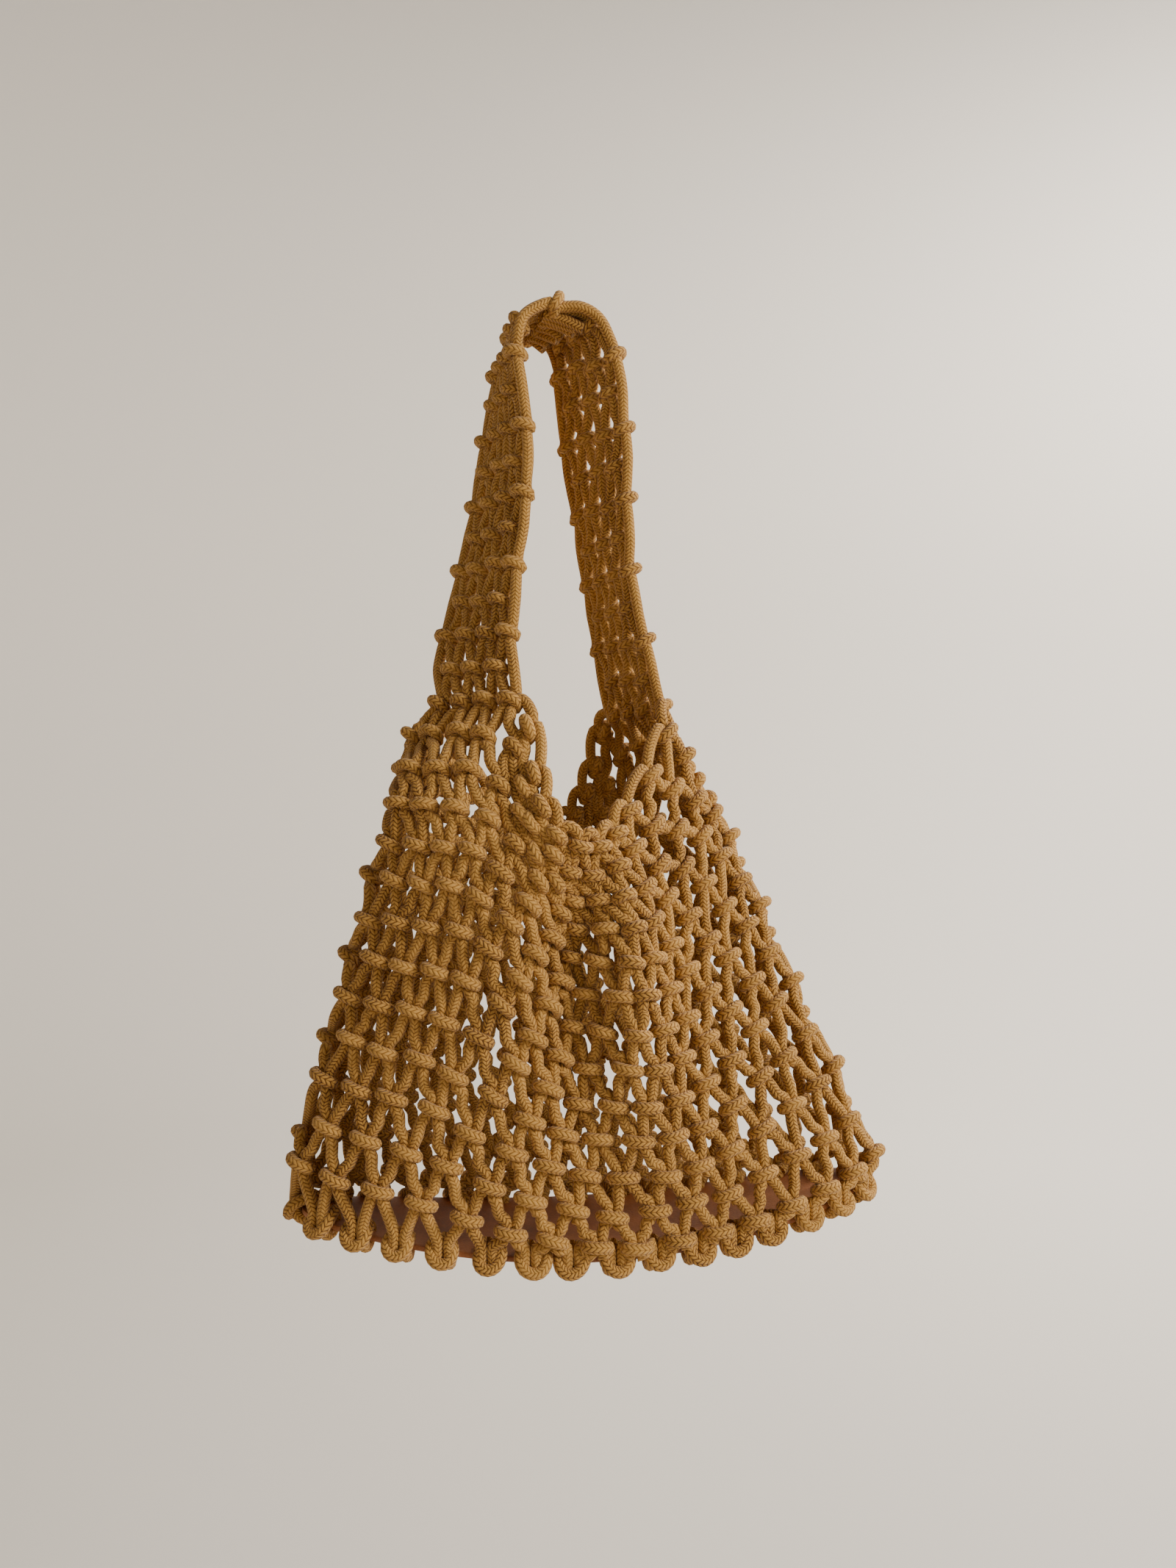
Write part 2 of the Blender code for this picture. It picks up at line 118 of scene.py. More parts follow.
# The net's middle surface
# The bag has no frame of its own. Its net hangs in rings from the rim down to the base, with one
# fold down the front, and the strap is a flat band over the top from one end of the rim to the other.
CORD = 0.0064
STRAP_WIDTH = 0.062
STRAP_DROP = 0.218
NECK_LENGTH = 0.106
NECK_DEPTH = 0.124
RIM_SAG = 0.076
BODY_HEIGHT = 0.272
FOLD_DEPTH = 0.020
BASE_LENGTH = 0.319
BASE_DEPTH = 0.094
BASE_THICKNESS = 0.003
BASE_SAG = 0.020
EDGE_OUT = 0.0038
NECK_TWIST = 23.0
NECK_LEAN = 6.0
NECK_MIDDLE = (0.009, -0.008)
BASE_MIDDLE = (0.028, -0.016)

# Knots round the net, rows of knots down it, knots across each end of the strap and rows up a leg
COLUMNS = 30
ROWS = 12
LEG_COLUMNS = 4
LEG_ROWS = {"left": 12, "right": 11}
STRAP_ROWS = 24
LEG_SHARE = LEG_COLUMNS / 2 / COLUMNS
# Where the middle of each leg is round the net, in half columns
LEG_MIDDLES = {"left": 1, "right": COLUMNS - 1}

# Sections of the body from the rim (0) to the base (1), as shares of the sizes above
SECTION_NAMES = (
    "along", "down", "spread", "narrow", "shift", "twist", "lean", "rim_sag", "base_sag", "fold", "even",
    "flat", "lens", "shelf", "lift")
SECTIONS = (
    (0.00, 0.000, 0.000, 0.00, 0.00, 1.00, 1.00, 1.00, 0.00, 0.00, 0.00, 0.00, 0.00, 0.00, 0.00),
    (0.31, 0.272, 0.445, 0.00, 0.20, 0.52, 0.33, 0.75, 0.25, 1.00, 0.15, 0.90, 0.55, 1.00, 0.00),
    (0.62, 0.581, 0.700, 0.33, 0.50, 0.17, 0.00, 0.53, 0.64, 0.60, 0.60, 0.85, 0.45, 1.00, 0.20),
    (0.92, 0.941, 1.000, 0.83, 1.00, 0.00, 0.00, 0.05, 1.00, 0.00, 1.00, 0.50, 0.05, 0.30, 1.00),
    (1.00, 1.000, 1.000, 1.00, 1.00, 0.00, 0.00, 0.00, 1.00, 0.00, 1.00, 0.40, 0.00, 0.00, 0.00),
)
# The front's rows run level from the left, fall to the fold and rise again to the right
SHELF_LEFT = (0.20, 0.30)
SHELF_RIGHT = (1.02, 0.35)
# The lowest rows are higher at the left and a little lower in the middle
LEFT_LIFT = 0.014
MIDDLE_DROP = 0.003
# Below the legs the net's columns have slid round by these to the left, in columns
LEFT_SLIDE = 2.4
RIGHT_SLIDE = 1.8
SLIDE_ROWS = 4
VALLEY_PLACE = 0.24
PLEAT_PLACE = 0.307
FOLD_BREADTH = 0.04
PLEAT_SHARE = 0.6

# The strap's route, as leg, share of the drop, stray in X and Y as shares of its width, and turn
ROUTE = (
    ("left", 1.000, 0.00, 0.00, 50.0),
    ("left", 0.897, -0.05, 0.06, 45.0),
    ("left", 0.712, -0.07, 0.14, 34.0),
    ("left", 0.524, -0.07, 0.13, 29.0),
    ("left", 0.335, -0.12, 0.09, 22.0),
    ("left", 0.146, -0.22, 0.06, 8.0),
    ("left", 0.047, -0.20, 0.03, 3.0),
    ("left", 0.000, 0.00, 0.00, 10.0),
    ("right", 0.047, 0.26, -0.08, 22.0),
    ("right", 0.146, 0.27, -0.18, 29.0),
    ("right", 0.335, 0.18, -0.17, 30.0),
    ("right", 0.524, 0.09, -0.11, 23.0),
    ("right", 0.712, 0.02, -0.05, 18.0),
    ("right", 0.897, -0.01, -0.04, 22.0),
    ("right", 1.000, 0.00, 0.00, 24.0),
)
STRAP_TOP = 0.0045
BAND_REACH = 0.385
BAND_FADE = 0.10
VALLEY_POWER = 2.0


def smooth_value(places, values, place):
    """Read a smooth curve through the given values at a place between them."""
    if place <= places[0]:
        return values[0]
    if place >= places[-1]:
        return values[-1]
    last = len(places) - 1
    left = max(i for i in range(last) if places[i] <= place)
    span = places[left + 1] - places[left]

    def slope(i):
        before = max(i - 1, 0)
        after = min(i + 1, last)
        return span * (values[after] - values[before]) / (places[after] - places[before])

    s = (place - places[left]) / span
    start = (2 * s ** 3 - 3 * s ** 2 + 1) * values[left] + (s ** 3 - 2 * s ** 2 + s) * slope(left)
    end = (3 * s ** 2 - 2 * s ** 3) * values[left + 1] + (s ** 3 - s ** 2) * slope(left + 1)
    return start + end


def ease(share):
    share = min(max(share, 0.0), 1.0)
    return share * share * (3 - 2 * share)


def signed_turn(around, place):
    return (around - place + 0.5) % 1.0 - 0.5


def bump_at(around, place):
    return math.exp(-(signed_turn(around, place) / FOLD_BREADTH) ** 2)


ANGLES = np.linspace(0, 2 * math.pi, 361)


@functools.lru_cache(maxsize=4000)
def edge_lengths(half_length, half_depth):
    pieces = np.hypot(half_length * np.sin(ANGLES), half_depth * np.cos(ANGLES))
    lengths = np.concatenate([[0.0], np.cumsum((pieces[1:] + pieces[:-1]) / 2)])
    return lengths / lengths[-1]


def even_angle(around, half_length, half_depth):
    """The angle of an ellipse at an even share of the way round its edge."""
    return float(np.interp(around % 1.0, edge_lengths(half_length, half_depth), ANGLES))


def sag_share(angle):
    return abs(math.sin(angle)) ** 2.4


def valley_share(around):
    """How far the rim has fallen from the edge of a leg (0) to the middle of the V (1)."""
    middles = [middle / 2 / COLUMNS for middle in LEG_MIDDLES.values()]
    away = min(abs(signed_turn(around, middle)) for middle in middles) - LEG_SHARE
    half_gap = (middles[1] - middles[0] if around % 1.0 < 0.5 else 1 + middles[0] - middles[1]) / 2
    share = min(max(away / (half_gap - LEG_SHARE), 0.0), 1.0)
    return 1 - (1 - share) ** VALLEY_POWER


@functools.lru_cache(maxsize=4000)
def section_at(along):
    """The body's section at a share of the way from the rim to the base."""
    columns = list(zip(*SECTIONS))
    s = {name: smooth_value(columns[0], column, along) for name, column in zip(SECTION_NAMES, columns)}
    neck = (NECK_LENGTH / 2, NECK_DEPTH / 2)
    base = (BASE_LENGTH / 2 + EDGE_OUT, BASE_DEPTH / 2 + EDGE_OUT)
    s["half_length"] = neck[0] + (base[0] - neck[0]) * s["spread"]
    s["half_depth"] = neck[1] + (base[1] - neck[1]) * s["narrow"]
    s["middle"] = [n + (b - n) * s["shift"] for n, b in zip(NECK_MIDDLE, BASE_MIDDLE)]
    s["twist"] = math.radians(NECK_TWIST * s["twist"])
    s["lean"] = math.radians(NECK_LEAN * s["lean"])
    return s


def ring_point(around, along):
    """A point of the rings, around from the middle of the left leg by the front to the right one."""
    s = section_at(round(along, 5))
    plain = 2 * math.pi * (around % 1.0)
    angle = plain + s["even"] * (even_angle(around, s["half_length"], s["half_depth"]) - plain)
    across = around % 0.5 * 2
    level_angle = math.acos(1 - 2 * across) + (math.pi if around % 1.0 >= 0.5 else 0)
    angle += s["flat"] * (level_angle - angle)
    rim_share = valley_share(around)
    if around % 1.0 < 0.5:
        shelf = ease((across - SHELF_LEFT[0]) / SHELF_LEFT[1]) * ease((SHELF_RIGHT[0] - across) / SHELF_RIGHT[1])
        rim_share += s["shelf"] * (shelf - rim_share)
        lift = LEFT_LIFT * ease((0.55 - across) / 0.4) - MIDDLE_DROP * math.sin(math.pi * across)
    else:
        lift = 0.0
    thin = 1 - s["lens"] * (1 - abs(math.sin(angle)))
    fold = FOLD_DEPTH * s["fold"] * (
        bump_at(around, VALLEY_PLACE) - PLEAT_SHARE * bump_at(around, PLEAT_PLACE))
    x = -s["half_length"] * math.cos(angle)
    y = -s["half_depth"] * math.sin(angle) * thin + fold
    sag = RIM_SAG * s["rim_sag"] * rim_share + BASE_SAG * s["base_sag"] * sag_share(angle)
    return Vector((
        x * math.cos(s["twist"]) - y * math.sin(s["lean"]) + s["middle"][0],
        x * math.sin(s["twist"]) + y * math.cos(s["lean"]) + s["middle"][1],
        -STRAP_DROP - BODY_HEIGHT * s["down"] - sag + lift * s["lift"]))


def route_stations():
    """The strap's stations: their points, their turns and their distances along the strap."""
    ends = {"left": ring_point(0.0, 0.0), "right": ring_point(0.5, 0.0)}
    points = []
    for leg, down, bow_x, bow_y, turn in ROUTE:
        points.append(Vector((
            ends[leg].x * down + bow_x * STRAP_WIDTH,
            ends[leg].y * down + bow_y * STRAP_WIDTH,
            STRAP_TOP - (STRAP_DROP + STRAP_TOP) * down)))
    distances = [0.0]
    for a, b in zip(points, points[1:]):
        distances.append(distances[-1] + (b - a).length)
    return points, [row[-1] for row in ROUTE], distances


STATION_POINTS, STATION_TURNS, STATION_DISTANCES = route_stations()


def band_point(across, along):
    """A point of the strap's band: across from its rear edge (-1) to its front edge (1)."""
    place = along * STATION_DISTANCES[-1]
    middle = Vector([
        smooth_value(STATION_DISTANCES, [point[axis] for point in STATION_POINTS], place)
        for axis in range(3)])
    turn = math.radians(smooth_value(STATION_DISTANCES, STATION_TURNS, place))
    return middle + Vector((math.sin(turn), -math.cos(turn), 0)) * across * STRAP_WIDTH / 2


def ring_place(column, row):
    """How far round the ring a column is, once the columns have slid to the left under the legs."""
    share = ease(row / SLIDE_ROWS)
    left = -LEFT_SLIDE * share
    right = COLUMNS / 2 - RIGHT_SLIDE * share
    column = (column - left) % COLUMNS + left
    if column < right:
        return (column - left) / (right - left) / 2
    return 0.5 + (column - right) / (COLUMNS - right + left) / 2


def net_point(column, row):
    """A point of the body: the rings, with the flat bands of the two legs worked into their tops."""
    around, along = column / COLUMNS, row / (ROWS + 1)
    point = ring_point(ring_place(column, row), along)
    for leg, end, forward in (("left", 0.0, 1), ("right", 1.0, -1)):
        middle = LEG_MIDDLES[leg] / 2 / COLUMNS
        away = signed_turn(around, middle)
        weight = ease(1 - (abs(away) - LEG_SHARE) / BAND_FADE) * ease(1 - along / BAND_REACH)
        if weight > 0:
            held = min(max(away, -LEG_SHARE), LEG_SHARE)
            band = band_point(forward * held / LEG_SHARE, end)
            point = point + weight * (band - ring_point(middle + held, 0.0))
    return point


def leg_point(leg):
    """The surface of one leg of the strap, by column to its right seen from outside and row up it."""
    def point(column, row):
        across = column * 2 / LEG_COLUMNS * (1 if leg == "left" else -1)
        along = row / STRAP_ROWS
        return band_point(across, along if leg == "left" else 1 - along)
    return point


# Body net
# The body is netted from one thickness of braided cotton cord. Two cords meet at every knot: one
# runs straight down and the other turns behind it, round its left side and back across the front.
KNOT_PATHS = {
    "core": ((-0.42, -0.80, 0.00), (-0.36, -0.30, -0.08), (-0.36, 0.30, -0.08), (-0.46, 0.80, 0.00)),
    "wrap": (
        (0.42, -0.80, 0.00), (0.34, -0.30, -0.08), (0.26, 0.10, -0.30), (-0.05, 0.26, -0.62),
        (-0.50, 0.18, -0.66), (-0.88, 0.06, -0.25), (-0.92, -0.02, 0.22), (-0.62, -0.06, 0.66),
        (-0.12, -0.04, 0.82), (0.42, 0.02, 0.78), (0.84, 0.12, 0.40), (0.94, 0.28, -0.05),
        (0.70, 0.44, -0.36), (0.44, 0.62, -0.18), (0.46, 0.90, 0.00)),
}
OTHER = {"core": "wrap", "wrap": "core"}
FULL_PITCH = 0.0185
NARROWEST = 0.70
TILT = 2.0
TILT_SPREAD = 5.0
PLACE_SPREAD = 0.0007
STRAND_PATH = ((0.45, 0.36), (0.55, 0.64))
STRAND_SPREAD = 0.0004
chance = random.Random(7)


class Knot:
    """Where a knot sits on a surface, and how it is turned, tilted and squeezed."""

    def __init__(self, surface, column, row, downwards=1, cord=CORD):
        self.cord = cord
        self.centre = surface(column, row)
        side = surface(column + 0.2, row) - surface(column - 0.2, row)
        fall = (surface(column, row + 0.2) - surface(column, row - 0.2)) * downwards
        fall.normalize()
        pitch = side.cross(fall).length / 0.4
        side.normalize()
        slant = side.dot(fall) / 2
        self.out = fall.cross(side).normalized()
        side, fall = (side - slant * fall).normalized(), (fall - slant * side).normalized()
        tilt = math.radians(TILT + chance.uniform(-TILT_SPREAD, TILT_SPREAD))
        self.side = side * math.cos(tilt) + fall * math.sin(tilt)
        self.fall = fall * math.cos(tilt) - side * math.sin(tilt)
        self.squeeze = min(max(pitch / FULL_PITCH, NARROWEST), 1.0)
        self.centre += self.side * chance.gauss(0, PLACE_SPREAD) + self.fall * chance.gauss(0, PLACE_SPREAD)

    def spot(self, x, y, z):
        """A point near the knot: x to its right, y down and z outwards, in cord diameters."""
        return self.centre + self.cord * (self.side * x * self.squeeze + self.fall * y + self.out * z)

    def path(self, role):
        return [self.spot(*point) for point in KNOT_PATHS[role]]


def strand_points(surface, place_a, place_b):
    """The strand between two knots, which runs straight down the surface and hangs a little loose."""
    points = []
    for sideways, down in STRAND_PATH:
        column = place_a[0] + (place_b[0] - place_a[0]) * sideways
        row = place_a[1] + (place_b[1] - place_a[1]) * down
        loose = Vector([chance.gauss(0, STRAND_SPREAD) for axis in range(3)])
        points.append(surface(column, row) + loose)
    return points


body_knots = {}
for row in range(ROWS + 1):
    for column in range(COLUMNS):
        half = 2 * column + row % 2
        body_knots[row, half] = Knot(net_point, half / 2, row)


def leather_height(x):
    """The height of the middle of the leather, which bends down between its two ends."""
    share = (x - BASE_MIDDLE[0]) / (BASE_LENGTH / 2 + EDGE_OUT)
    return -STRAP_DROP - BODY_HEIGHT - BASE_SAG * sag_share(math.acos(min(max(share, -1.0), 1.0)))


# A cord's way round the leather's edge, in cord diameters: inwards from the net, and up
LOOP_PATH = (
    (0.00, 1.20), (0.00, 0.45), (0.02, -0.20), (0.30, -0.66), (0.85, -0.86), (1.40, -0.66), (1.70, -0.10),
    (1.72, 0.50))

# The cord's bar across the outside of each loop: outwards, sideways and up
BAR_PATH = (
    (-1.50, -0.55, 0.60), (-0.95, -0.84, 0.72), (-0.20, -1.00, 0.42), (0.28, -0.88, -0.12),
    (0.50, -0.38, -0.54), (0.52, 0.28, -0.60), (0.40, 0.80, -0.26), (0.00, 1.04, 0.32),
    (-0.85, 0.90, 0.74), (-1.45, 0.60, 0.70))


def loop_path(half, hand):
    """The cord's way from the net under the leather and up through its hole, on one side of it."""
    column = half / 2
    foot = net_point(column, ROWS + 1)
    along = (net_point(column + 0.2, ROWS + 1) - net_point(column - 0.2, ROWS + 1)).normalized()
    inward = Vector((-along.y, along.x, 0)).normalized()
    points = []
    for into, rise in LOOP_PATH:
        apart = 0.48 if into < 1.2 else 0.42
        spot = foot + inward * into * CORD + along * hand * apart * CORD
        spot.z = leather_height(spot.x) + rise * CORD
        points.append(spot)
    top = foot + inward * 1.5 * CORD
    top.z = leather_height(top.x) + 0.9 * CORD
    return points + [top]


def bar_path(half):
    """The bar round the outside of the pair of cords that goes into one hole."""
    column = half / 2
    foot = net_point(column, ROWS + 1)
    along = (net_point(column + 0.2, ROWS + 1) - net_point(column - 0.2, ROWS + 1)).normalized()
    inward = Vector((-along.y, along.x, 0)).normalized()
    points = []
    size = 1 + chance.uniform(-0.14, 0.10)
    slide = chance.uniform(-0.25, 0.25)
    dip = chance.uniform(-0.22, 0.22)
    for outwards, sideways, rise in BAR_PATH:
        spot = foot - inward * outwards * size * CORD + along * (sideways * size + slide) * CORD
        spot.z = leather_height(foot.x) + (rise * size + dip * sideways) * CORD
        points.append(spot)
    return points


def cord_down(half, role):
    """One cord from its knot in the rim, knot by knot in a zigzag, to its loop round the base."""
    points = []
    for row in range(ROWS + 1):
        knot = body_knots[row, half]
        points += knot.path(role)
        step = -1 if role == "core" else 1
        after = (half + step) % (2 * COLUMNS)
        if row < ROWS:
            points += strand_points(net_point, (half / 2, row), ((half + step) / 2, row + 1))
            half = after
            role = OTHER[role]
        else:
            points += loop_path(after, -step)
    return points


def rim_arch(half):
    """The edge cord from one rim knot to the next, bowed up a little between them."""
    after = (half + 2) % (2 * COLUMNS)
    left, right = body_knots[0, half], body_knots[0, after]
    legs = leg_halves()
    if half in legs:
        start = [left.spot(0.1, 0.0, -0.2), left.spot(0.9, -0.35, -0.1)]
    else:
        start = [left.spot(*KNOT_PATHS["wrap"][0])]
    if after in legs:
        end = [right.spot(-0.9, -0.35, -0.1), right.spot(-0.1, 0.0, -0.2)]
    else:
        end = [right.spot(*KNOT_PATHS["core"][0])]
    top = (start[-1] + end[0]) / 2 - (left.fall + right.fall) * 0.15 * CORD
    return start, top, end


def leg_halves():
    reach = LEG_COLUMNS - 1
    return {
        (middle + step) % (2 * COLUMNS)
        for middle in LEG_MIDDLES.values() for step in range(-reach, reach + 1, 2)}


def body_routes():
    """Every cord of the body, by the half of the bag that it hangs in: front or back."""
    routes = {"front": [], "back": []}
    legs = leg_halves()
    turn = 2 * COLUMNS
    for half in range(0, turn, 2):
        part = "front" if half <= COLUMNS else "back"
        after = (half + 2) % turn
        if half in legs:
            routes[part].append(cord_down(half, "core"))
            routes[part].append(cord_down(half, "wrap"))
        if half in legs and after in legs:
            continue
        start, top, end = rim_arch(half)
        route = [top]
        route = (start if half in legs else cord_down(half, "wrap")[::-1]) + route
        route = route + (end if after in legs else cord_down(after, "core"))
        routes[part].append(route)
    for half in range(1, turn, 2):
        routes["front" if half <= COLUMNS else "back"].append(bar_path(half))
    return routes


def curve_object(name, routes):
    """A curve with one open spline for each route."""
    curve = bpy.data.curves.new(name, "CURVE")
    curve.dimensions = "3D"
    for route in routes:
        spline = curve.splines.new("POLY")
        spline.points.add(len(route) - 1)
        spline.points.foreach_set("co", [value for point in route for value in (*point, 1.0)])
    guide = bpy.data.objects.new(name, curve)
    bpy.context.scene.collection.objects.link(guide)
    return guide


class Tree:
    """A Geometry Nodes tree under construction."""

    def __init__(self, name, inputs):
        self.group = bpy.data.node_groups.new(name, "GeometryNodeTree")
        self.group.interface.new_socket("Geometry", in_out="INPUT", socket_type="NodeSocketGeometry")
        self.identifiers = {}
        for label, kind in inputs.items():
            socket = self.group.interface.new_socket(label, in_out="INPUT", socket_type=kind)
            self.identifiers[label] = socket.identifier
        self.group.interface.new_socket("Geometry", in_out="OUTPUT", socket_type="NodeSocketGeometry")
        self.input = self.group.nodes.new("NodeGroupInput")
        self.output = self.group.nodes.new("NodeGroupOutput")

    def node(self, kind, settings=None, **inputs):
        """Add a node. Its settings come first, then each input's value or link, by the socket's name."""
        made = self.group.nodes.new(kind)
        for key, value in (settings or {}).items():
            setattr(made, key, value)
        for key, value in inputs.items():
            socket = made.inputs[int(key[1:])] if key[1:].isdigit() else made.inputs[key.replace("_", " ")]
            if isinstance(value, bpy.types.NodeSocket):
                self.group.links.new(value, socket)
            else:
                socket.default_value = value
        return made

    def apply(self, guide, values, name):
        """Run the tree on a guide object and keep the result as a plain mesh object."""
        modifier = guide.modifiers.new(name, "NODES")
        modifier.node_group = self.group
        for label, value in values.items():
            modifier[self.identifiers[label]] = value
        graph = bpy.context.evaluated_depsgraph_get()
        mesh = bpy.data.meshes.new_from_object(
            guide.evaluated_get(graph), preserve_all_data_layers=True, depsgraph=graph)
        piece = bpy.data.objects.new(name, mesh)
        mesh.name = name
        bpy.context.scene.collection.objects.link(piece)
        guide.modifiers.remove(modifier)
        bpy.data.objects.remove(guide, do_unlink=True)
        return piece


def cord_tree():
    """Routes become round cords, which keep their length and the way round them for the braid."""
    tree = Tree("braided cord", {
        "Diameter": "NodeSocketFloat", "Sides": "NodeSocketInt", "Step": "NodeSocketFloat",
        "Unevenness": "NodeSocketFloat", "Seed": "NodeSocketInt", "Material": "NodeSocketMaterial"})
    given = tree.input.outputs
    smooth = tree.node("GeometryNodeCurveSplineType", {"spline_type": "CATMULL_ROM"}, Curve=given["Geometry"])
    fine = tree.node("GeometryNodeSetSplineResolution", Geometry=smooth.outputs[0], Resolution=8)
    even = tree.node(
        "GeometryNodeResampleCurve", {"mode": "LENGTH"}, Curve=fine.outputs[0], Length=given["Step"])
    place = tree.node("GeometryNodeInputPosition")
    noise = tree.node(
        "ShaderNodeTexNoise", {"noise_dimensions": "4D"}, Vector=place.outputs[0], Scale=55.0,
        W=given["Seed"], Detail=1.0)
    centred = tree.node(
        "ShaderNodeVectorMath", {"operation": "SUBTRACT"}, i0=noise.outputs["Color"], i1=(0.5, 0.5, 0.5))
    shift = tree.node(
        "ShaderNodeVectorMath", {"operation": "SCALE"}, i0=centred.outputs[0], Scale=given["Unevenness"])
    moved = tree.node("GeometryNodeSetPosition", Geometry=even.outputs[0], Offset=shift.outputs[0])
    twistless = tree.node("GeometryNodeSetCurveNormal", Curve=moved.outputs[0])
    along = tree.node("GeometryNodeSplineParameter")
    owner = tree.node("GeometryNodeCurveOfPoint")
    shade = tree.node("FunctionNodeRandomValue", {"data_type": "FLOAT"}, Seed=given["Seed"])
    tree.group.links.new(owner.outputs["Curve Index"], shade.inputs["ID"])
    kept = tree.node("GeometryNodeCaptureAttribute", Geometry=twistless.outputs[0])
    kept.capture_items.new("FLOAT", "length")
    kept.capture_items.new("FLOAT", "shade")
    tree.group.links.new(along.outputs["Length"], kept.inputs["length"])
    tree.group.links.new(shade.outputs[1], kept.inputs["shade"])
    radius = tree.node("ShaderNodeMath", {"operation": "MULTIPLY"}, i0=given["Diameter"], i1=0.5)
    circle = tree.node("GeometryNodeCurvePrimitiveCircle", Resolution=given["Sides"], Radius=radius.outputs[0])
    around = tree.node("GeometryNodeSplineParameter")
    angle = tree.node("ShaderNodeMath", {"operation": "MULTIPLY"}, i0=around.outputs["Factor"], i1=math.tau)
    cosine = tree.node("ShaderNodeMath", {"operation": "COSINE"}, i0=angle.outputs[0])
    sine = tree.node("ShaderNodeMath", {"operation": "SINE"}, i0=angle.outputs[0])
    ring = tree.node("GeometryNodeCaptureAttribute", Geometry=circle.outputs[0])
    ring.capture_items.new("FLOAT", "cosine")
    ring.capture_items.new("FLOAT", "sine")
    tree.group.links.new(cosine.outputs[0], ring.inputs["cosine"])
    tree.group.links.new(sine.outputs[0], ring.inputs["sine"])
    tube = tree.node("GeometryNodeCurveToMesh", Curve=kept.outputs[0], Fill_Caps=True)
    tree.group.links.new(ring.outputs[0], tube.inputs["Profile Curve"])
    packed = tree.node("ShaderNodeCombineXYZ")
    tree.group.links.new(ring.outputs["cosine"], packed.inputs[0])
    tree.group.links.new(ring.outputs["sine"], packed.inputs[1])
    tree.group.links.new(kept.outputs["length"], packed.inputs[2])
    braid = tree.node(
        "GeometryNodeStoreNamedAttribute", {"data_type": "FLOAT_VECTOR", "domain": "POINT"},
        Geometry=tube.outputs[0], Name="braid", Value=packed.outputs[0])
    toned = tree.node(
        "GeometryNodeStoreNamedAttribute", {"data_type": "FLOAT", "domain": "POINT"},
        Geometry=braid.outputs[0], Name="tone", Value=kept.outputs["shade"])
    rounded = tree.node("GeometryNodeSetShadeSmooth", Geometry=toned.outputs[0])
    realized = tree.node("GeometryNodeRealizeInstances", Geometry=rounded.outputs[0])
    coloured = tree.node(
        "GeometryNodeSetMaterial", Geometry=realized.outputs[0], Material=given["Material"])
    tree.group.links.new(coloured.outputs[0], tree.output.inputs[0])
    return tree


class Wire:
    """A shader socket on which arithmetic adds Math nodes."""

    def __init__(self, finish, socket):
        self.finish = finish
        self.socket = socket

    def math(self, operation, *others, first=False):
        values = [self, *others]
        if first:
            values = [*others, self]
        settings = {"operation": operation}
        return self.finish.node("ShaderNodeMath", settings, **{f"i{n}": v for n, v in enumerate(values)})

    def __add__(self, other):
        return self.math("ADD", other)

    def __radd__(self, other):
        return self.math("ADD", other)

    def __sub__(self, other):
        return self.math("SUBTRACT", other)

    def __rsub__(self, other):
        return self.math("SUBTRACT", other, first=True)

    def __mul__(self, other):
        return self.math("MULTIPLY", other)

    def __rmul__(self, other):
        return self.math("MULTIPLY", other)

    def __truediv__(self, other):
        return self.math("DIVIDE", other)

    def __pow__(self, other):
        return self.math("POWER", other)

    def clamped(self):
        return self.finish.node("ShaderNodeClamp", Value=self)


class Finish:
    """A material under construction, on its Principled BSDF."""

    def __init__(self, name):
        self.material = bpy.data.materials.new(name)
        self.material.use_nodes = True
        self.tree = self.material.node_tree
        self.shader = self.tree.nodes["Principled BSDF"]

    def node(self, kind, settings=None, output=0, **inputs):
        """Add a node with its settings and its inputs' values or wires, and return one output."""
        made = self.tree.nodes.new(kind)
        for key, value in (settings or {}).items():
            if key == "stops":
                self.set_stops(made.color_ramp, value)
            else:
                setattr(made, key, value)
        for key, value in inputs.items():
            socket = made.inputs[int(key[1:])] if key[1:].isdigit() else made.inputs[key.replace("_", " ")]
            self.feed(socket, value)
        return Wire(self, made.outputs[output])

    @staticmethod
    def set_stops(ramp, stops):
        while len(ramp.elements) > len(stops):
            ramp.elements.remove(ramp.elements[-1])
        while len(ramp.elements) < len(stops):
            ramp.elements.new(1.0)
        for element, (position, colour) in zip(ramp.elements, stops):
            element.position = position
            element.color = (*colour, 1.0)

    def feed(self, socket, value):
        if isinstance(value, Wire):
            self.tree.links.new(value.socket, socket)
        elif isinstance(value, tuple) and len(value) == 3 and len(socket.default_value) == 4:
            socket.default_value = (*value, 1.0)
        else:
            socket.default_value = value

    def mix(self, share, first, second, blend="MIX"):
        """Mix two colours by a share."""
        made = self.tree.nodes.new("ShaderNodeMix")
        made.data_type = "RGBA"
        made.blend_type = blend
        self.feed(made.inputs["Factor"], share)
        self.feed(made.inputs["A"] if False else made.inputs[6], first)
        self.feed(made.inputs[7], second)
        return Wire(self, made.outputs[2])

    def set(self, **inputs):
        for key, value in inputs.items():
            self.feed(self.shader.inputs[key.replace("_", " ")], value)


# The cord's colours, from painted shade at the bottom of the braid's grooves, through the cotton's own tan, to
# the worn fibres on top of it
PAINTED_GROOVE_SHADE = (0.105, 0.036, 0.006)
TAN = (0.470, 0.235, 0.048)
WORN = (0.620, 0.345, 0.098)
BRAID_COLUMNS = 8
BRAID_PITCH = 0.0021
BRAID_SLANT = 0.9


